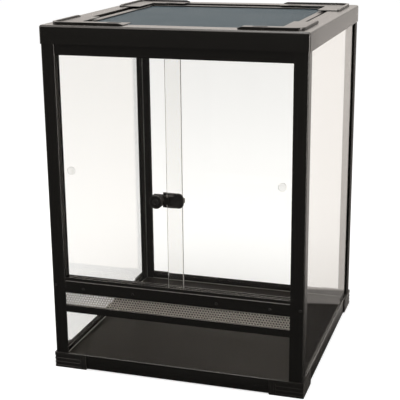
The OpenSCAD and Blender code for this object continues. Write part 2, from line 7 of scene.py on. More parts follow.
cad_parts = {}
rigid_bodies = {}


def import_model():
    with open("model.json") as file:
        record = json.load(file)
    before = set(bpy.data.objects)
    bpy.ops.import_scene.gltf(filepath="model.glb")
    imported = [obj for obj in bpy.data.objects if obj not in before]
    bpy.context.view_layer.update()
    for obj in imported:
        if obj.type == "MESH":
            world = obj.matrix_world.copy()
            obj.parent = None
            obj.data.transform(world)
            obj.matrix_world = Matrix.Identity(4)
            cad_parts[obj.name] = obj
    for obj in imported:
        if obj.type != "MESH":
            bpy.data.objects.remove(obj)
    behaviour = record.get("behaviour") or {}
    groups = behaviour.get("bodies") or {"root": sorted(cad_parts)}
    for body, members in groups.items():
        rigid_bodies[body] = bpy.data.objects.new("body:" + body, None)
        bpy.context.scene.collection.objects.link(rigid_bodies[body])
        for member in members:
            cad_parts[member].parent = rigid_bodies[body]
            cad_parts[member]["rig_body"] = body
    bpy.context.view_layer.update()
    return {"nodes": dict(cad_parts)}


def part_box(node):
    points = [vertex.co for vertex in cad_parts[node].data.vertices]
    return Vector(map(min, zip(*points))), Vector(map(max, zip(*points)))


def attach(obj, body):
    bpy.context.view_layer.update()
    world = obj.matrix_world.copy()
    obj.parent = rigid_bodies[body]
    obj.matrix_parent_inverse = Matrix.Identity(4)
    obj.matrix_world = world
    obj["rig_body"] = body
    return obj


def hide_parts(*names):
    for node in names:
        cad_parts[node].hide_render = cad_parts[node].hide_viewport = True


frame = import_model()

# Glass terrarium: black corner posts and rails, two sliding front doors with a ratchet lock,
# a perforated vent strip under them and a lift-off lid with a perforated sheet.
# Front is towards -Y, up is +Z, metres.

scene = bpy.context.scene
nodes = frame["nodes"]
mm = 0.001
# for every piece: angles in degrees, and the gaps in mm that merging closes
surface = {"smoothAngle": 35, "bevelAngle": 30, "bevelSteps": 2, "flatAngle": 0.6,
           "mergeGap": 0.002, "joinGap": 0.02}
# how far a normal leans along an axis where a face counts as facing that way
facing = {"up": 0.6, "front": 0.99, "side": 0.9, "right": 0.3, "back": 0.03}


# small helpers
def deselectAll():
    bpy.ops.object.select_all(action="DESELECT")


def only(obj):
    deselectAll()
    obj.select_set(True)
    bpy.context.view_layer.objects.active = obj


def editMode(obj, selectMode="FACE"):
    only(obj)
    bpy.ops.object.mode_set(mode="EDIT")
    bpy.ops.mesh.select_mode(type=selectMode)
    bpy.ops.mesh.select_all(action="DESELECT")


def objectMode():
    bpy.ops.object.mode_set(mode="OBJECT")


def pick(obj, part, test):
    # selects the faces, edges or vertices of obj for which test is true, and goes back to edit mode
    objectMode()
    mesh = obj.data
    for group in (mesh.polygons, mesh.edges, mesh.vertices):
        for item in group:
            item.select = False
    for item in getattr(mesh, part):
        if test(item):
            item.select = True
    bpy.ops.object.mode_set(mode="EDIT")


def applyAll(obj):
    only(obj)
    for modifier in list(obj.modifiers):
        bpy.ops.object.modifier_apply(modifier=modifier.name)


def freeze(obj):
    only(obj)
    bpy.ops.object.transform_apply(location=True, rotation=True, scale=True)


def smoothed(obj):
    only(obj)
    bpy.ops.object.shade_smooth_by_angle(angle=radians(surface["smoothAngle"]))


def bevelled(obj, width):
    # rounds the sharp edges; flat faces keep flat shading because the new normals follow them
    smoothed(obj)
    bevel = obj.modifiers.new("edgeBevel", "BEVEL")
    bevel.width = width
    bevel.segments = surface["bevelSteps"]
    bevel.limit_method = "ANGLE"
    bevel.angle_limit = radians(surface["bevelAngle"])
    bevel.harden_normals = True
    bevel.use_clamp_overlap = True
    applyAll(obj)


def rideWith(piece, body, slot, material, *replaced):
    piece.data.materials.clear()
    piece.data.materials.append(material)
    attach(piece, body)
    if replaced:
        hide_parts(*replaced)
    return piece


def copyOf(node, name):
    # a copy of a node's mesh, its loose triangles merged and its flat faces made whole
    piece = bpy.data.objects.new(name, nodes[node].data.copy())
    scene.collection.objects.link(piece)
    editMode(piece)
    bpy.ops.mesh.select_all(action="SELECT")
    bpy.ops.mesh.remove_doubles(threshold=surface["mergeGap"] * mm)
    bpy.ops.mesh.customdata_custom_splitnormals_clear()
    bpy.ops.mesh.dissolve_limited(angle_limit=radians(surface["flatAngle"]))
    objectMode()
    return piece


# camera: metres, degrees, and millimetres for lens and sensor
camera = {
    "place": (0.538665, -1.752541, 0.792612),
    "yaw": 17.789,
    "pitch": -16.027,
    "roll": -0.573,
    "lens": 91.96,
    "sensor": 36.0,
    "near": 0.05,
    "far": 60,
}


def addCamera(size):
    bpy.ops.object.camera_add()
    cam = bpy.context.object
    cam.name = "camera"
    turn = Matrix.Rotation(radians(size["yaw"]), 4, "Z")
    tilt = Matrix.Rotation(pi / 2 + radians(size["pitch"]), 4, "X")
    roll = Matrix.Rotation(radians(size["roll"]), 4, "Z")
    cam.matrix_world = Matrix.Translation(size["place"]) @ turn @ tilt @ roll
    cam.data.sensor_width = size["sensor"]
    cam.data.lens = size["lens"]
    cam.data.clip_start = size["near"]
    cam.data.clip_end = size["far"]
    scene.camera = cam


addCamera(camera)
print("camera set")


# materials
def newMaterial(name):
    material = bpy.data.materials.new(name)
    material.use_nodes = True
    tree = material.node_tree
    tree.nodes.clear()
    output = tree.nodes.new("ShaderNodeOutputMaterial")
    shader = tree.nodes.new("ShaderNodeBsdfPrincipled")
    tree.links.new(shader.outputs[0], output.inputs["Surface"])
    return material, tree, shader, output


def groupNode(tree, group, **values):
    node = tree.nodes.new("ShaderNodeGroup")
    node.node_tree = group
    for key, value in values.items():
        node.inputs[key].default_value = value
    return node


def feed(tree, value, socket):
    # a number is set on the socket, and a node's output is linked to it
    if isinstance(value, (int, float)):
        socket.default_value = value
    else:
        tree.links.new(value, socket)


def mathNode(tree, operation, first, second=0.5, third=0.5):
    node = tree.nodes.new("ShaderNodeMath")
    node.operation = operation
    for socket, value in zip(node.inputs, (first, second, third)):
        feed(tree, value, socket)
    return node.outputs[0]


def mixNode(tree, factor, first, second):
    node = tree.nodes.new("ShaderNodeMixShader")
    for socket, value in zip(node.inputs, (factor, first, second)):
        feed(tree, value, socket)
    return node.outputs[0]


# the pattern of every hard finish: noise, and where settled dust begins and is full
finishPattern = {"patchDetail": 4, "grainDetail": 2, "speckDetail": 6, "speckScale": 260,
                 "speckRoughness": 0.75, "dustFrom": 0.52, "dustFull": 0.78}


def makeFinishGroup():
    # patchy gloss, fine orange peel and settled dust for a hard surface
    group = bpy.data.node_groups.new("hardFinish", "ShaderNodeTree")
    face = group.interface
    face.new_socket("Vector", in_out="INPUT", socket_type="NodeSocketVector")
    for name in ("PatchScale", "GrainScale", "Roughness", "Spread", "Dust"):
        face.new_socket(name, in_out="INPUT", socket_type="NodeSocketFloat")
    for name in ("BaseColor", "DustColor"):
        face.new_socket(name, in_out="INPUT", socket_type="NodeSocketColor")
    face.new_socket("Color", in_out="OUTPUT", socket_type="NodeSocketColor")
    face.new_socket("Roughness", in_out="OUTPUT", socket_type="NodeSocketFloat")
    face.new_socket("Height", in_out="OUTPUT", socket_type="NodeSocketFloat")
    nodesIn = group.nodes
    source = nodesIn.new("NodeGroupInput")
    result = nodesIn.new("NodeGroupOutput")
    patches = nodesIn.new("ShaderNodeTexNoise")
    patches.inputs["Detail"].default_value = finishPattern["patchDetail"]
    grain = nodesIn.new("ShaderNodeTexNoise")
    grain.inputs["Detail"].default_value = finishPattern["grainDetail"]
    specks = nodesIn.new("ShaderNodeTexNoise")
    specks.inputs["Scale"].default_value = finishPattern["speckScale"]
    specks.inputs["Detail"].default_value = finishPattern["speckDetail"]
    specks.inputs["Roughness"].default_value = finishPattern["speckRoughness"]
    link = group.links.new
    for node, scale in ((patches, "PatchScale"), (grain, "GrainScale")):
        link(source.outputs[scale], node.inputs["Scale"])
    for node in (patches, grain, specks):
        link(source.outputs["Vector"], node.inputs["Vector"])
    centred = mathNode(group, "SUBTRACT", patches.outputs["Fac"], 0.5)
    swing = mathNode(group, "MULTIPLY", centred, source.outputs["Spread"])
    rough = mathNode(group, "ADD", swing, source.outputs["Roughness"])
    dusty = nodesIn.new("ShaderNodeMapRange")
    dusty.inputs["From Min"].default_value = finishPattern["dustFrom"]
    dusty.inputs["From Max"].default_value = finishPattern["dustFull"]
    link(specks.outputs["Fac"], dusty.inputs["Value"])
    amount = mathNode(group, "MULTIPLY", dusty.outputs["Result"], source.outputs["Dust"])
    mix = nodesIn.new("ShaderNodeMix")
    mix.data_type = "RGBA"
    link(amount, mix.inputs["Factor"])
    link(source.outputs["BaseColor"], mix.inputs["A"])
    link(source.outputs["DustColor"], mix.inputs["B"])
    link(mix.outputs["Result"], result.inputs["Color"])
    link(rough, result.inputs["Roughness"])
    link(grain.outputs["Fac"], result.inputs["Height"])
    return group


hardFinish = makeFinishGroup()


def finishMaterial(look):
    # a hard opaque finish; stretch draws its pattern out along one axis, as on an extrusion
    material, tree, shader, output = newMaterial(look["name"])
    coords = tree.nodes.new("ShaderNodeTexCoord")
    mapping = tree.nodes.new("ShaderNodeMapping")
    mapping.inputs["Scale"].default_value = look.get("stretch", (1, 1, 1))
    group = groupNode(tree, hardFinish, PatchScale=look["patch"], GrainScale=look["grain"],
                      Roughness=look["roughness"], Spread=look["spread"], Dust=look["dust"],
                      BaseColor=(*look["color"], 1), DustColor=(*look["dustColor"], 1))
    bump = tree.nodes.new("ShaderNodeBump")
    bump.inputs["Strength"].default_value = look["bump"]
    bump.inputs["Distance"].default_value = look["depth"] * mm
    link = tree.links.new
    link(coords.outputs["Object"], mapping.inputs["Vector"])
    link(mapping.outputs["Vector"], group.inputs["Vector"])
    link(group.outputs["Color"], shader.inputs["Base Color"])
    link(group.outputs["Roughness"], shader.inputs["Roughness"])
    link(group.outputs["Height"], bump.inputs["Height"])
    link(bump.outputs["Normal"], shader.inputs["Normal"])
    shader.inputs["Metallic"].default_value = look.get("metallic", 0)
    shader.inputs["Specular IOR Level"].default_value = look.get("specular", 0.5)
    return material


# faint smudges on glass: noise, and where they begin and are full
smudgePattern = {"scale": 14, "detail": 5, "from": 0.45, "full": 0.75}


def glassMaterial(look):
    # clear float glass; lamps shine through it because shadow rays meet a plain transparent film
    material, tree, shader, output = newMaterial(look["name"])
    shader.inputs["Base Color"].default_value = (*look["color"], 1)
    shader.inputs["Transmission Weight"].default_value = 1
    shader.inputs["IOR"].default_value = look["ior"]
    coords = tree.nodes.new("ShaderNodeTexCoord")
    smudges = tree.nodes.new("ShaderNodeTexNoise")
    smudges.inputs["Scale"].default_value = smudgePattern["scale"]
    smudges.inputs["Detail"].default_value = smudgePattern["detail"]
    spread = tree.nodes.new("ShaderNodeMapRange")
    spread.inputs["From Min"].default_value = smudgePattern["from"]
    spread.inputs["From Max"].default_value = smudgePattern["full"]
    spread.inputs["To Min"].default_value = look["roughness"]
    spread.inputs["To Max"].default_value = look["roughness"] + look["smudge"]
    path = tree.nodes.new("ShaderNodeLightPath")
    film = tree.nodes.new("ShaderNodeBsdfTransparent")
    film.inputs["Color"].default_value = (*look["shadow"], 1)
    link = tree.links.new
    link(coords.outputs["Object"], smudges.inputs["Vector"])
    link(smudges.outputs["Fac"], spread.inputs["Value"])
    link(spread.outputs["Result"], shader.inputs["Roughness"])
    mix = mixNode(tree, path.outputs["Is Shadow Ray"], shader.outputs[0], film.outputs[0])
    link(mix, output.inputs["Surface"])
    return material


dustGrey = (0.16, 0.15, 0.14)
warmBlack = (0.0085, 0.0078, 0.0066)
along = {"X": (0.01, 1, 1), "Y": (1, 0.01, 1), "Z": (1, 1, 0.01)}


def extrusionLook(axis):
    return {"name": "frameBlack" + axis, "color": warmBlack, "dustColor": dustGrey, "patch": 14,
            "grain": 420, "roughness": 0.24, "spread": 0.12, "dust": 0.03, "bump": 0.3,
            "depth": 0.06, "stretch": along[axis]}


# black finishes: frameBlack on the extrusions; a duller copy of it as painted shade on the back
# posts, the strips, the front right foot and the back edge of the right cap; then the moulded top
# corners, feet and lid
frameBlack = {axis: finishMaterial(extrusionLook(axis)) for axis in "XYZ"}
backBlack = finishMaterial({
    "name": "backBlack", "color": warmBlack, "dustColor": dustGrey, "patch": 14, "grain": 900,
    "roughness": 0.55, "spread": 0.12, "dust": 0.03, "bump": 0.15, "depth": 0.05, "specular": 0.15,
    "stretch": along["Z"]})
capBlack = finishMaterial({
    "name": "capBlack", "color": warmBlack, "dustColor": dustGrey, "patch": 11, "grain": 2400,
    "roughness": 0.25, "spread": 0.1, "dust": 0.04, "bump": 0.2, "depth": 0.04})
footBlack = finishMaterial({
    "name": "footBlack", "color": (0.0095, 0.0088, 0.0078), "dustColor": dustGrey, "patch": 13,
    "grain": 2200, "roughness": 0.42, "spread": 0.1, "dust": 0.05, "bump": 0.2, "depth": 0.04,
    "specular": 0.4})
lidBlack = finishMaterial({
    "name": "lidBlack", "color": warmBlack, "dustColor": dustGrey, "patch": 12, "grain": 2000,
    "roughness": 0.3, "spread": 0.1, "dust": 0.06, "bump": 0.2, "depth": 0.04})
floorBoard = finishMaterial({
    "name": "floorBoard", "color": (0.017, 0.015, 0.012), "dustColor": (0.1, 0.09, 0.08),
    "patch": 5, "grain": 1600, "roughness": 0.55, "spread": 0.1, "dust": 0.05, "bump": 0.15,
    "depth": 0.05, "specular": 0.1})
meshSteel = finishMaterial({
    "name": "meshSteel", "color": (0.68, 0.65, 0.58), "dustColor": (0.4, 0.37, 0.35), "patch": 20,
    "grain": 1500, "roughness": 0.42, "spread": 0.12, "dust": 0.1, "bump": 0.15, "depth": 0.03,
    "metallic": 0.85})
lidSteel = finishMaterial({
    "name": "lidSteel", "color": (0.05, 0.07, 0.082), "dustColor": (0.2, 0.2, 0.2), "patch": 8,
    "grain": 1500, "roughness": 0.62, "spread": 0.16, "dust": 0.12, "bump": 0.15, "depth": 0.03,
    "specular": 0.12})
sealSilicone = finishMaterial({
    "name": "sealSilicone", "color": (0.16, 0.165, 0.15), "dustColor": (0.4, 0.4, 0.38),
    "patch": 30, "grain": 700, "roughness": 0.35, "spread": 0.1, "dust": 0.1, "bump": 0.2,
    "depth": 0.1})
screwSteel = finishMaterial({
    "name": "screwSteel", "color": (0.014, 0.013, 0.012), "dustColor": dustGrey, "patch": 90,
    "grain": 3000, "roughness": 0.5, "spread": 0.1, "dust": 0.1, "bump": 0.1, "depth": 0.02,
    "specular": 0.12})
lockBlack = finishMaterial({
    "name": "lockBlack", "color": (0.009, 0.0082, 0.0072), "dustColor": dustGrey, "patch": 60,
    "grain": 2500, "roughness": 0.5, "spread": 0.12, "dust": 0.06, "bump": 0.1, "depth": 0.03,
    "specular": 0.15})
hookBlack = finishMaterial({
    "name": "hookBlack", "color": (0.012, 0.0105, 0.009), "dustColor": dustGrey, "patch": 60,
    "grain": 2500, "roughness": 0.2, "spread": 0.1, "dust": 0.06, "bump": 0.1, "depth": 0.03})
plugMetal = finishMaterial({
    "name": "plugMetal", "color": (0.06, 0.058, 0.055), "dustColor": dustGrey, "patch": 90,
    "grain": 3000, "roughness": 0.28, "spread": 0.1, "dust": 0.08, "bump": 0.1, "depth": 0.02,
    "metallic": 0.8})
padRubber = finishMaterial({
    "name": "padRubber", "color": (0.02, 0.019, 0.018), "dustColor": dustGrey, "patch": 40,
    "grain": 1800, "roughness": 0.75, "spread": 0.1, "dust": 0.1, "bump": 0.3, "depth": 0.05})
# a bright metal finish used only as a painted highlight on the track's front step
bareEdge = finishMaterial({
    "name": "bareEdge", "color": (0.3, 0.29, 0.28), "dustColor": (0.3, 0.29, 0.28), "patch": 30,
    "grain": 1800, "roughness": 0.4, "spread": 0.2, "dust": 0.3, "bump": 0.15, "depth": 0.03,
    "metallic": 0.9, "stretch": (0.05, 1, 1)})
clearGlass = glassMaterial({
    "name": "clearGlass", "color": (0.992, 0.988, 0.975), "ior": 1.5, "roughness": 0.0,
    "smudge": 0.004, "shadow": (0.97, 0.98, 0.97)})
# pale grey for the doors' ground edges, which is partly a painted highlight for the light line
# along them
groundEdge = finishMaterial({
    "name": "groundEdge", "color": (0.46, 0.44, 0.42), "dustColor": (0.3, 0.3, 0.28), "patch": 20,
    "grain": 1200, "roughness": 0.45, "spread": 0.1, "dust": 0.1, "bump": 0.2, "depth": 0.03,
    "stretch": along["Z"]})
floorSilicone = finishMaterial({
    "name": "floorSilicone", "color": (0.2, 0.2, 0.175), "dustColor": (0.12, 0.12, 0.1),
    "patch": 30, "grain": 700, "roughness": 0.4, "spread": 0.1, "dust": 0.3, "bump": 0.2,
    "depth": 0.1})
pullClear = glassMaterial({
    "name": "pullClear", "color": (0.9, 0.9, 0.89), "ior": 1.3, "roughness": 0.02,
    "smudge": 0.1, "shadow": (0.85, 0.86, 0.85)})
print("materials made")

# frame pieces: softened copies of the nodes
corners = ("front_left", "front_right", "back_left", "back_right")
sides = {"front": "X", "back": "X", "left": "Y", "right": "Y"}
strips = ("jamb_left", "jamb_right", "bead_rear_left", "bead_rear_right", "bead_side_left",
          "bead_side_right")
# how wide each kind of piece has its edges softened, in mm; 0 leaves them sharp
edgeWidth = {"post": 0.45, "foot": 0.35, "topCorner": 0.35, "lidCorner": 0.4, "baseRail": 0.4,
             "topRail": 0.35, "lidRail": 0.3, "crossRail": 0.3, "strip": 0.3, "pane": 0.4,
             "door": 0.5, "floor": 0.3, "screw": 0.1, "plug": 0.2, "small": 0}
# the lower track's front step, which carries a painted highlight, in mm above the track's foot and
# behind its front
trackStep = {"low": 18, "high": 23, "deep": 1.6}


def softened(node, material, slot, kind):
    body = nodes[node]["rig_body"]
    words = node.split("_")
    name = words[0] + "".join(word.capitalize() for word in words[1:])
    piece = copyOf(node, name)
    if edgeWidth[kind]:
        bevelled(piece, edgeWidth[kind] * mm)
    else:
        smoothed(piece)
    return rideWith(piece, body, slot, material, node)


def secondFinish(piece, material, test):
    # gives another material to the faces for which test is true
    piece.data.materials.append(material)
    for face in piece.data.polygons:
        if test(face):
            face.material_index = 1


def paintStepHighlight(track):
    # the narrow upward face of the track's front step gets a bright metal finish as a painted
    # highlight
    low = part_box("door_track_lower")[0]
    foot, top = low.z + trackStep["low"] * mm, low.z + trackStep["high"] * mm
    back = low.y + trackStep["deep"] * mm

    def onStep(face):
        upward = face.normal.z > facing["up"]
        return upward and foot < face.center.z < top and face.center.y < back

    secondFinish(track, bareEdge, onStep)


def shadeBackCorner(cap):
    # the rounded back edge of the right cap gets the duller black, a painted shade that darkens it
    # against its sides
    def onBackEdge(face):
        return face.normal.x > facing["right"] and face.normal.y > facing["back"]

    secondFinish(cap, backBlack, onBackEdge)


def groundEdgeHighlights(pane):
    # the two upright edges of a door are ground, so they don't show through; their pale grey also
    # serves as a painted highlight along each edge
    secondFinish(pane, groundEdge, lambda face: abs(face.normal.x) > facing["side"])


def buildFrame():
    for corner in corners:
        # the back posts get the duller black, as painted shade
        postLook = backBlack if "back" in corner else frameBlack["Z"]
        softened("post_" + corner, postLook, "frame_black", "post")
        # the front right foot alone gets the duller black, as painted shade
        footLook = backBlack if corner == "front_right" else footBlack
        softened("foot_" + corner, footLook, "moulded_black", "foot")
        softened("top_corner_" + corner, capBlack, "moulded_black", "topCorner")
        softened("lid_corner_" + corner, lidBlack, "lid_black", "lidCorner")
    for side, axis in sides.items():
        softened("base_rail_" + side, frameBlack[axis], "frame_black", "baseRail")
        softened("top_rail_" + side, frameBlack[axis], "frame_black", "topRail")
        softened("lid_rail_" + side, lidBlack, "lid_black", "lidRail")
    for node in ("vent_rail", "door_track_lower", "door_track_upper"):
        softened(node, frameBlack["X"], "frame_black", "crossRail")
    paintStepHighlight(bpy.data.objects["doorTrackLower"])
    shadeBackCorner(bpy.data.objects["topCornerBackRight"])
    # the jambs and beads get the duller black, as painted shade
    for node in strips:
        softened(node, backBlack, "frame_black", "strip")
    for node in ("glass_back", "glass_left", "glass_right", "glass_front_lower"):
        softened(node, clearGlass, "clear_glass", "pane")
    for node in ("door_left", "door_right"):
        groundEdgeHighlights(softened(node, clearGlass, "clear_glass", "door"))
    softened("floor_panel", floorBoard, "floor_panel", "floor")
    softened("corner_seals", sealSilicone, "silicone", "small")
    softened("track_screws", screwSteel, "screw", "screw")
    softened("lock_plug", plugMetal, "lock_plug", "plug")
    softened("lock_pad", padRubber, "rubber_pad", "small")
    softened("lid_spline", padRubber, "rubber_pad", "small")
    for side in ("left", "right"):
        softened("finger_pull_" + side, pullClear, "pull_clear", "small")


buildFrame()
print("frame pieces made")

# lock: ridged hook plate on the inner door, ringed barrel on the outer one, in mm; a face counts
# as part of the front down to skin behind it
lockSize = {"plateReach": 7.8, "plateRim": 1.3, "plateRise": 0.7, "fieldRim": 2.2,
            "plateEdge": 0.2, "headRim": 1.3, "headSink": 0.6, "barrelEdge": 0.3, "skin": 0.1}


def pressIn(piece, test, rim, sink):
    # insets the picked faces and pushes them back along Y
    pick(piece, "polygons", test)
    bpy.ops.mesh.inset(thickness=rim * mm, depth=0, use_even_offset=True)
    bpy.ops.transform.translate(value=(0, sink * mm, 0))


def buildPlate(size):
    # the plate begins left of the outer door; its bar goes on behind the barrel
    plate = copyOf("lock_hook", "lockHook")
    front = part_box("lock_hook")[0].y
    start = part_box("door_right")[0].x - size["plateReach"] * mm
    editMode(plate)
    bpy.ops.mesh.select_all(action="SELECT")
    bpy.ops.mesh.bisect(plane_co=(start, 0, 0), plane_no=(1, 0, 0))

    def plateFront(face):
        ahead = face.normal.y < -facing["front"] and face.center.y < front + size["skin"] * mm
        return ahead and face.center.x > start

    pressIn(plate, plateFront, size["plateRim"], -size["plateRise"])
    bpy.ops.mesh.inset(thickness=size["fieldRim"] * mm, depth=0)
    bpy.ops.transform.translate(value=(0, size["plateRise"] * mm, 0))
    objectMode()
    bevelled(plate, size["plateEdge"] * mm)
    rideWith(plate, "left_door", "lock_black", hookBlack, "lock_hook")


def buildBarrel(size):
    barrel = copyOf("lock_barrel", "lockBarrel")
    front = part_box("lock_barrel")[0].y
    editMode(barrel)

    def headFront(face):
        return face.normal.y < -facing["front"] and face.center.y < front + size["skin"] * mm

    pressIn(barrel, headFront, size["headRim"], size["headSink"])
    objectMode()
    bevelled(barrel, size["barrelEdge"] * mm)
    rideWith(barrel, "right_door", "lock_black", lockBlack, "lock_barrel")


buildPlate(lockSize)
buildBarrel(lockSize)
print("lock made")

# silicone along the foot of each pane, in mm; each End is how far short of the next pane it stops
filletSize = {"leg": 3.2, "gap": 0.05, "round": 0.4, "frontEnd": 8, "backEnd": 4, "sideEnd": 4}


def addFillet(name, middle, length, wall, size):
    # a cube drawn out to length whose inner top edge is folded onto the wall's side
    leg = size["leg"] * mm
    off = leg / 2 + size["gap"] * mm
    inner = middle - wall * off + Vector((0, 0, off))
    deselectAll()
    bpy.ops.mesh.primitive_cube_add(size=1, location=inner)
    fillet = bpy.context.object
    fillet.name = name
    editMode(fillet, "VERT")
    bpy.ops.mesh.select_all(action="SELECT")
    scale = (leg, length, leg) if wall.x else (length, leg, leg)
    bpy.ops.transform.resize(value=scale, center_override=inner)
    pick(fillet, "vertices", lambda vertex: vertex.co.dot(wall) < 0 and vertex.co.z > 0)
    bpy.ops.transform.translate(value=wall * leg)
    bpy.ops.mesh.select_all(action="SELECT")
    bpy.ops.mesh.remove_doubles(threshold=surface["joinGap"] * mm)
    bpy.ops.mesh.normals_make_consistent(inside=False)
    objectMode()
    freeze(fillet)
    bevelled(fillet, size["round"] * mm)
    rideWith(fillet, "tank", "silicone", floorSilicone)


def buildFillets(size):
    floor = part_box("floor_panel")[1].z
    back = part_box("glass_back")[0]
    left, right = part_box("glass_left")[1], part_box("glass_right")[0]
    depth = back.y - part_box("glass_left")[0].y - (size["frontEnd"] + size["backEnd"]) * mm
    middleY = back.y - depth / 2 - size["backEnd"] * mm
    width = right.x - left.x - 2 * size["sideEnd"] * mm
    for name, middle, length, wall in (
            ("floorSealLeft", (left.x, middleY, floor), depth, (-1, 0, 0)),
            ("floorSealRight", (right.x, middleY, floor), depth, (1, 0, 0)),
            ("floorSealBack", (0, back.y, floor), width, (0, 1, 0))):
        addFillet(name, Vector(middle), length, Vector(wall), size)


buildFillets(filletSize)
print("fillets made")

# perforated sheets, in mm; sides is a hole's number of sides, 6 or 12
ventSheet = {"pitch": 4.9, "hole": 3.1, "sides": 12, "thick": 0.6}
lidSheet = {"pitch": 3.5, "hole": 2.05, "sides": 6, "thick": 0.8, "strips": 3}


def perforatedCell(name, size):
    # the ring of faces between one round hole and the hexagon round it
    radius = size["hole"] / 2 * mm
    apothem = size["pitch"] * mm / 2
    lean = cos(pi / 6)  # a hexagon's apothem over its corner's distance
    halved = size["sides"] == 12  # the hexagon's sides are halved too
    deselectAll()
    bpy.ops.mesh.primitive_circle_add(vertices=size["sides"], radius=radius, fill_type="NOTHING",
                                      location=(0, 0, 0), rotation=(0, 0, 0))
    cell = bpy.context.object
    cell.name = name
    editMode(cell, "EDGE")
    bpy.ops.mesh.select_all(action="SELECT")
    bpy.ops.mesh.extrude_edges_move()
    ratio = (apothem if halved else apothem / lean) / radius
    bpy.ops.transform.resize(value=(ratio, ratio, 1), center_override=(0, 0, 0))

    def outerCorner(vertex):
        step = round(vertex.co.xy.angle_signed(Vector((0, 1))) / (pi / 6))
        return vertex.co.length > (radius + apothem) / 2 and step % 2 == 0

    if halved:
        bpy.ops.mesh.select_mode(type="VERT")
        pick(cell, "vertices", outerCorner)
        bpy.ops.transform.resize(value=(1 / lean, 1 / lean, 1), center_override=(0, 0, 0))
    objectMode()
    return cell


def repeatCell(sheet, size, width, height):
    # staggered rows that cover width and height, with room to spare, about the origin
    pitch = size["pitch"] * mm
    rowStep = pitch * sqrt(3) / 2
    columns = int(width / pitch) + 3
    rowPairs = int(height / (2 * rowStep)) + 2
    for number, offset in ((2, (pitch / 2, rowStep, 0)), (columns, (pitch, 0, 0)),
                           (rowPairs, (0, 2 * rowStep, 0))):
        array = sheet.modifiers.new("repeat", "ARRAY")
        array.use_relative_offset = False
        array.use_constant_offset = True
        array.constant_offset_displace = offset
        array.count = number
    applyAll(sheet)
    total = Vector((pitch * (columns - 1) + pitch / 2, 2 * rowStep * rowPairs - rowStep))
    return Matrix.Translation((-total.x / 2, -total.y / 2, 0))


def trimSheet(sheet, low, high, middle, axes):
    # merges the cells and cuts them off at the box's sides
    editMode(sheet)
    bpy.ops.mesh.select_all(action="SELECT")
    bpy.ops.mesh.remove_doubles(threshold=surface["joinGap"] * mm)
    for axis in axes:
        for limit, sign in ((low[axis], -1), (high[axis], 1)):
            normal = [0, 0, 0]
            normal[axis] = sign
            point = list(middle)
            point[axis] = limit
            bpy.ops.mesh.select_all(action="SELECT")
            bpy.ops.mesh.bisect(plane_co=point, plane_no=normal, clear_outer=True)
    bpy.ops.mesh.select_all(action="SELECT")
    bpy.ops.mesh.normals_make_consistent(inside=False)
    objectMode()


def perforatedSheet(name, size, low, high, upright):
    # a sheet in the middle of the box low to high, upright as the vent or flat as the lid
    across = 2 if upright else 1
    sheet = perforatedCell(name, size)
    shift = repeatCell(sheet, size, high[0] - low[0], high[across] - low[across])
    middle = [(a + b) / 2 for a, b in zip(low, high)]
    stand = Matrix.Rotation(pi / 2, 4, "X") if upright else Matrix.Identity(4)
    sheet.data.transform(Matrix.Translation(middle) @ stand @ shift)
    trimSheet(sheet, low, high, middle, (0, across))
    wall = sheet.modifiers.new("thickness", "SOLIDIFY")
    wall.thickness = size["thick"] * mm
    wall.offset = 0
    applyAll(sheet)
    return sheet


def buildSheets():
    low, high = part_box("vent_mesh")
    vent = perforatedSheet("ventSheet", ventSheet, low, high, True)
    rideWith(vent, "tank", "wire_mesh", meshSteel, "vent_mesh")
    # the lid's sheet is made in strips of whole rows, which keeps each piece's mesh small
    low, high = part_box("lid_mesh")
    count = lidSheet["strips"]
    pitchY = lidSheet["pitch"] * sqrt(3) * mm
    rows = int((high.y - low.y) / pitchY / count)
    for index in range(count):
        start = low.y + index * rows * pitchY
        end = high.y if index == count - 1 else start + rows * pitchY
        strip = perforatedSheet("lidSheet" + "ABC"[index], lidSheet, Vector((low.x, start, low.z)),
                                Vector((high.x, end, high.z)), False)
        rideWith(strip, "lid", "wire_mesh", lidSteel, "lid_mesh")


buildSheets()
print("perforated sheets made")

# floor, world and lamp; plain lights what is neither mirrored nor seen through glass
studio = {"floorSize": 40, "floorGlow": 0.56, "floorColor": 0.8, "floorRoughness": 0.9,
          "plain": 0.55, "through": 0.985, "warm": (1.0, 0.93, 0.87), "softbox": 4.0,
          "strip": 22.0}
overheadLamp = {"place": (0.1, -0.3, 2.3), "target": (0, 0, 0.3), "width": 1.3, "depth": 1.3,
                "radiance": 5.0}
# the room that reflections meet, from far below to straight up: (height, brightness)
reflected = ((-0.5, 0.7), (-0.345, 0.7), (-0.28, 0.82), (-0.156, 0.9), (0.0, 0.85), (0.12, 0.8),
             (0.24, 1.7), (0.6, 2.0), (0.75, 1.0), (0.85, 1.5), (1.0, 1.5))
brightest = max(light for level, light in reflected)
# how its parts fade: (axis, from, to, strength before, strength after)
fades = {
    "darkGround": ("z", -0.371, -0.369, 0.012, 0.34),  # two sharp steps low down
    "paleGround": ("z", -0.3585, -0.356, 0.0, 0.66),
    "behind": ("y", -0.75, 0.1, 0.12, 1.0),  # darker on the camera's side
    "zenith": ("z", 0.75, 0.9, 0.0, 1.0),
    "softboxFoot": ("z", 0.42, 0.55, 0.0, 1.0),
    "softboxBack": ("y", -0.5, 0.0, 1.0, 0.0),
    "stripNear": ("y", -0.3, -0.27, 0.0, 1.0),
    "stripFar": ("y", -0.13, -0.1, 1.0, 0.0),
    "stripSide": ("x", 0.5, 0.6, 0.0, 1.0),
    "stripFoot": ("z", -0.3, -0.2, 0.0, 1.0),
}


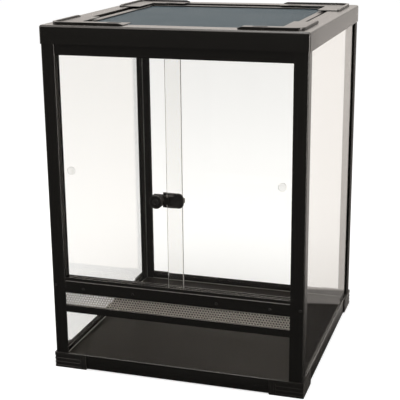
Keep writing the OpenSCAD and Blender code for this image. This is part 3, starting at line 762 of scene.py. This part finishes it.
def lightMasks(tree):
    # straight: what the camera sees directly; through: what it sees only through glass;
    # mirrored: what is met after a gloss bounce
    path = tree.nodes.new("ShaderNodeLightPath")
    mirrored = mathNode(tree, "MINIMUM", path.outputs["Glossy Depth"], 1.0)
    scattered = mathNode(tree, "MINIMUM", path.outputs["Diffuse Depth"], 1.0)
    bounced = mathNode(tree, "MAXIMUM", mirrored, scattered)
    unbounced = mathNode(tree, "SUBTRACT", 1.0, bounced)
    through = mathNode(tree, "MULTIPLY", path.outputs["Is Transmission Ray"], unbounced)
    return path.outputs["Is Camera Ray"], through, mirrored


def addFloor():
    deselectAll()
    bpy.ops.mesh.primitive_plane_add(size=studio["floorSize"], location=(0, 0, 0))
    floor = bpy.context.object
    floor.name = "studioFloor"
    material, tree, shader, output = newMaterial("studioWhite")
    shader.inputs["Base Color"].default_value = (studio["floorColor"],) * 3 + (1,)
    shader.inputs["Roughness"].default_value = studio["floorRoughness"]
    shader.inputs["Specular IOR Level"].default_value = 0
    straight, through, mirrored = lightMasks(tree)
    direct = mathNode(tree, "MULTIPLY", straight, studio["floorGlow"])
    behindGlass = mathNode(tree, "MULTIPLY", through, studio["floorGlow"] + studio["through"] - 1)
    glow = mathNode(tree, "MAXIMUM", direct, behindGlass)
    shader.inputs["Emission Color"].default_value = (1, 1, 1, 1)
    tree.links.new(glow, shader.inputs["Emission Strength"])
    hole = tree.nodes.new("ShaderNodeBsdfTransparent")
    mix = mixNode(tree, mirrored, shader.outputs[0], hole.outputs[0])
    tree.links.new(mix, output.inputs["Surface"])
    floor.data.materials.append(material)
    floor.visible_glossy = False


def fadeNode(tree, value, limits):
    node = tree.nodes.new("ShaderNodeMapRange")
    node.interpolation_type = "SMOOTHSTEP"
    for name, number in zip(("From Min", "From Max", "To Min", "To Max"), limits):
        node.inputs[name].default_value = number
    tree.links.new(value, node.inputs["Value"])
    return node.outputs["Result"]


def backgroundNode(tree, strength, color=(1, 1, 1)):
    node = tree.nodes.new("ShaderNodeBackground")
    node.inputs["Color"].default_value = (*color, 1)
    feed(tree, strength, node.inputs["Strength"])
    return node.outputs[0]


def roomBrightness(tree, axes):
    # white behind and beside, dark below and on the camera's side, with a softbox above the
    # camera and an upright strip on the right
    stops = tree.nodes.new("ShaderNodeValToRGB")
    elements = stops.color_ramp.elements
    elements.remove(elements[1])
    for index, (level, light) in enumerate(reflected):
        place = (level + 1) / 2  # straight down is 0 on the ramp, straight up is 1
        stop = elements.new(place) if index else elements[0]
        stop.position = place
        stop.color = (light / brightest,) * 3 + (1,)
    tree.links.new(mathNode(tree, "MULTIPLY_ADD", axes["z"], 0.5, 0.5), stops.inputs["Fac"])
    wall = mathNode(tree, "MULTIPLY", stops.outputs["Color"], brightest)
    fade = {name: fadeNode(tree, axes[axis], limits) for name, (axis, *limits) in fades.items()}
    ground = mathNode(tree, "ADD", fade["darkGround"], fade["paleGround"])
    height = mathNode(tree, "MULTIPLY", wall, ground)
    behind = mathNode(tree, "MAXIMUM", fade["behind"], fade["zenith"])
    around = mathNode(tree, "MULTIPLY", height, behind)
    above = mathNode(tree, "MULTIPLY", fade["softboxFoot"], fade["softboxBack"])
    softbox = mathNode(tree, "MULTIPLY", above, studio["softbox"])
    upright = mathNode(tree, "MULTIPLY", fade["stripNear"], fade["stripFar"])
    beside = mathNode(tree, "MULTIPLY", fade["stripSide"], fade["stripFoot"])
    strip = mathNode(tree, "MULTIPLY", mathNode(tree, "MULTIPLY", upright, beside), studio["strip"])
    return mathNode(tree, "MAXIMUM", mathNode(tree, "MAXIMUM", around, softbox), strip)


def addWorld():
    world = bpy.data.worlds.new("studio")
    scene.world = world
    world.use_nodes = True
    world.cycles.sampling_method = "NONE"
    tree = world.node_tree
    tree.nodes.clear()
    output = tree.nodes.new("ShaderNodeOutputWorld")
    coords = tree.nodes.new("ShaderNodeTexCoord")
    split = tree.nodes.new("ShaderNodeSeparateXYZ")
    tree.links.new(coords.outputs["Generated"], split.inputs[0])
    room = roomBrightness(tree, dict(zip("xyz", split.outputs)))
    straight, through, mirrored = lightMasks(tree)
    plain = backgroundNode(tree, studio["plain"])
    glossy = mixNode(tree, mirrored, plain, backgroundNode(tree, room, studio["warm"]))
    behindGlass = mixNode(tree, through, glossy, backgroundNode(tree, studio["through"]))
    seen = mixNode(tree, straight, behindGlass, backgroundNode(tree, 1.0))
    tree.links.new(seen, output.inputs["Surface"])


def addLamp(name, size):
    # an even rectangle of light; radiance is its brightness as seen in a mirror
    bpy.ops.object.light_add(type="AREA", location=size["place"])
    lamp = bpy.context.object
    lamp.name = name
    aim = Vector(size["target"]) - Vector(size["place"])
    lamp.rotation_euler = aim.to_track_quat("-Z", "Y").to_euler()
    lamp.data.shape = "RECTANGLE"
    lamp.data.size = size["width"]
    lamp.data.size_y = size["depth"]
    lamp.data.energy = size["radiance"] * pi * size["width"] * size["depth"]
    lamp.visible_camera = False
    lamp.visible_transmission = False


addFloor()
addWorld()
addLamp("overheadSoftbox", overheadLamp)
print("studio set")

scene.view_settings.view_transform = "Standard"
